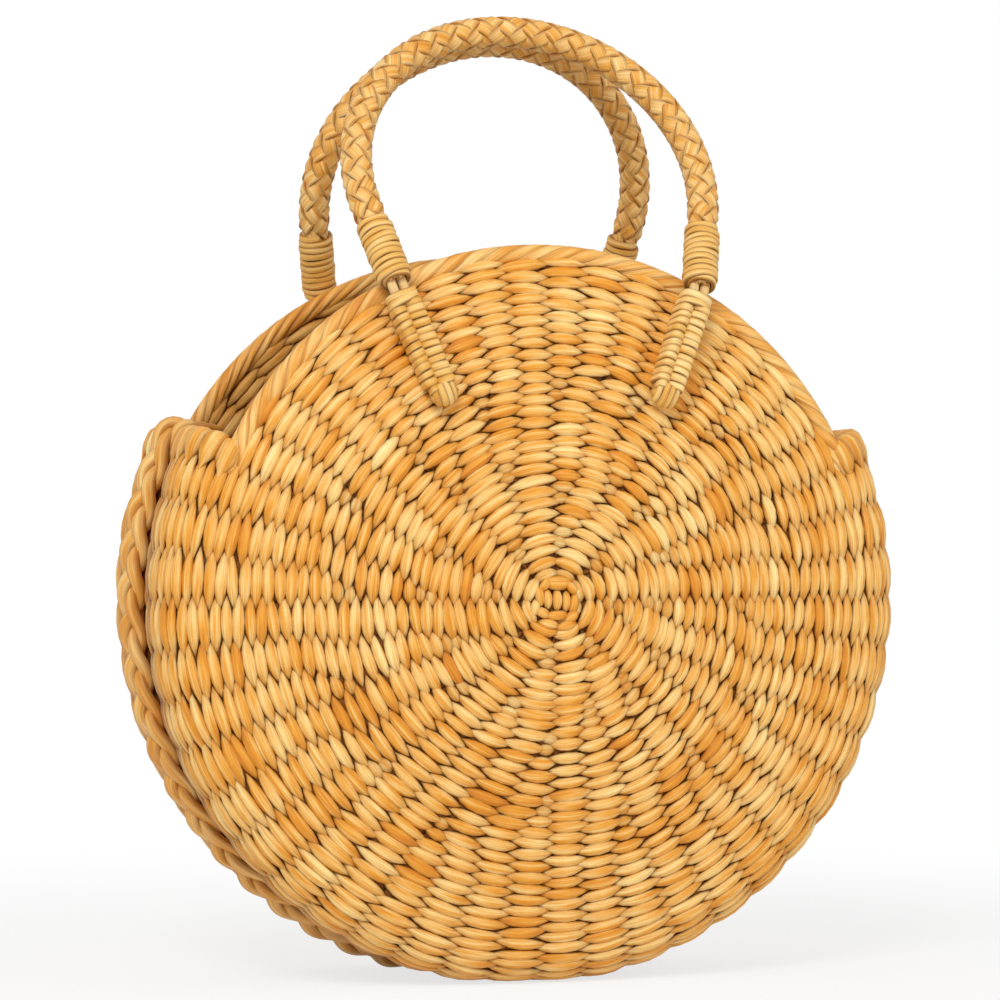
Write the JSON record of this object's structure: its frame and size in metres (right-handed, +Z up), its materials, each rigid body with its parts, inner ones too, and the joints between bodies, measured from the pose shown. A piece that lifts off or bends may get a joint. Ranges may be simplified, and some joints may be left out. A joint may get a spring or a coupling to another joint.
{
  "type": "circle bag",
  "caption": "Round woven straw handbag: two dished halves joined at a side seam, open at the top, with braided rope handles that fold outwards.",
  "frame": {"origin": "on the floor, under the middle of the bag", "axes": "+Z up, front disc faces -Y, +X to the right of someone who looks at the front"},
  "size_m": [0.358, 0.1642, 0.4499],
  "materials": {
    "straw_weave": "matte woven plant fibre",
    "straw_lining_side": "matte woven plant fibre, inside",
    "straw_stake": "matte plant fibre",
    "straw_border": "matte plaited plant fibre",
    "straw_rope": "matte braided plant fibre",
    "straw_cord": "satin wound plant fibre",
    "straw_core": "matte plant fibre"
  },
  "bodies": {
    "bag": {"front_outer_weave": "straw_weave", "front_inner_weave": "straw_lining_side", "front_stakes": "straw_stake", "front_stake_hub": "straw_stake", "front_mouth_border": "straw_border", "front_seam_border": "straw_border", "front_left_shoulder_border": "straw_border", "front_right_shoulder_border": "straw_border", "front_left_leg_lashing": "straw_cord", "front_left_leg_knot": "straw_cord", "front_left_leg_core": "straw_core", "front_left_hinge_strands": "straw_core", "front_right_leg_lashing": "straw_cord", "front_right_leg_knot": "straw_cord", "front_right_leg_core": "straw_core", "front_right_hinge_strands": "straw_core", "back_outer_weave": "straw_weave", "back_inner_weave": "straw_lining_side", "back_stakes": "straw_stake", "back_stake_hub": "straw_stake", "back_mouth_border": "straw_border", "back_seam_border": "straw_border", "back_left_shoulder_border": "straw_border", "back_right_shoulder_border": "straw_border", "back_left_leg_lashing": "straw_cord", "back_left_leg_knot": "straw_cord", "back_left_leg_core": "straw_core", "back_left_hinge_strands": "straw_core", "back_right_leg_lashing": "straw_cord", "back_right_leg_knot": "straw_cord", "back_right_leg_core": "straw_core", "back_right_hinge_strands": "straw_core"},
    "front_handle": {"front_handle_braid": "straw_rope", "front_handle_core": "straw_core", "front_left_whipping": "straw_cord", "front_right_whipping": "straw_cord"},
    "back_handle": {"back_handle_braid": "straw_rope", "back_handle_core": "straw_core", "back_left_whipping": "straw_cord", "back_right_whipping": "straw_cord"}
  },
  "joints": [
    {"name": "front_handle_swing", "type": "hinge", "parent": "bag", "child": "front_handle", "pos_m": [0, -0.07187, 0.31856], "axis": [1, 0, 0], "range_deg": [0, 95], "deforming": ["front_left_hinge_strands", "front_right_hinge_strands"]},
    {"name": "back_handle_swing", "type": "hinge", "parent": "bag", "child": "back_handle", "pos_m": [0, 0.07187, 0.31856], "axis": [-1, 0, 0], "range_deg": [0, 95], "deforming": ["back_left_hinge_strands", "back_right_hinge_strands"]}
  ]
}
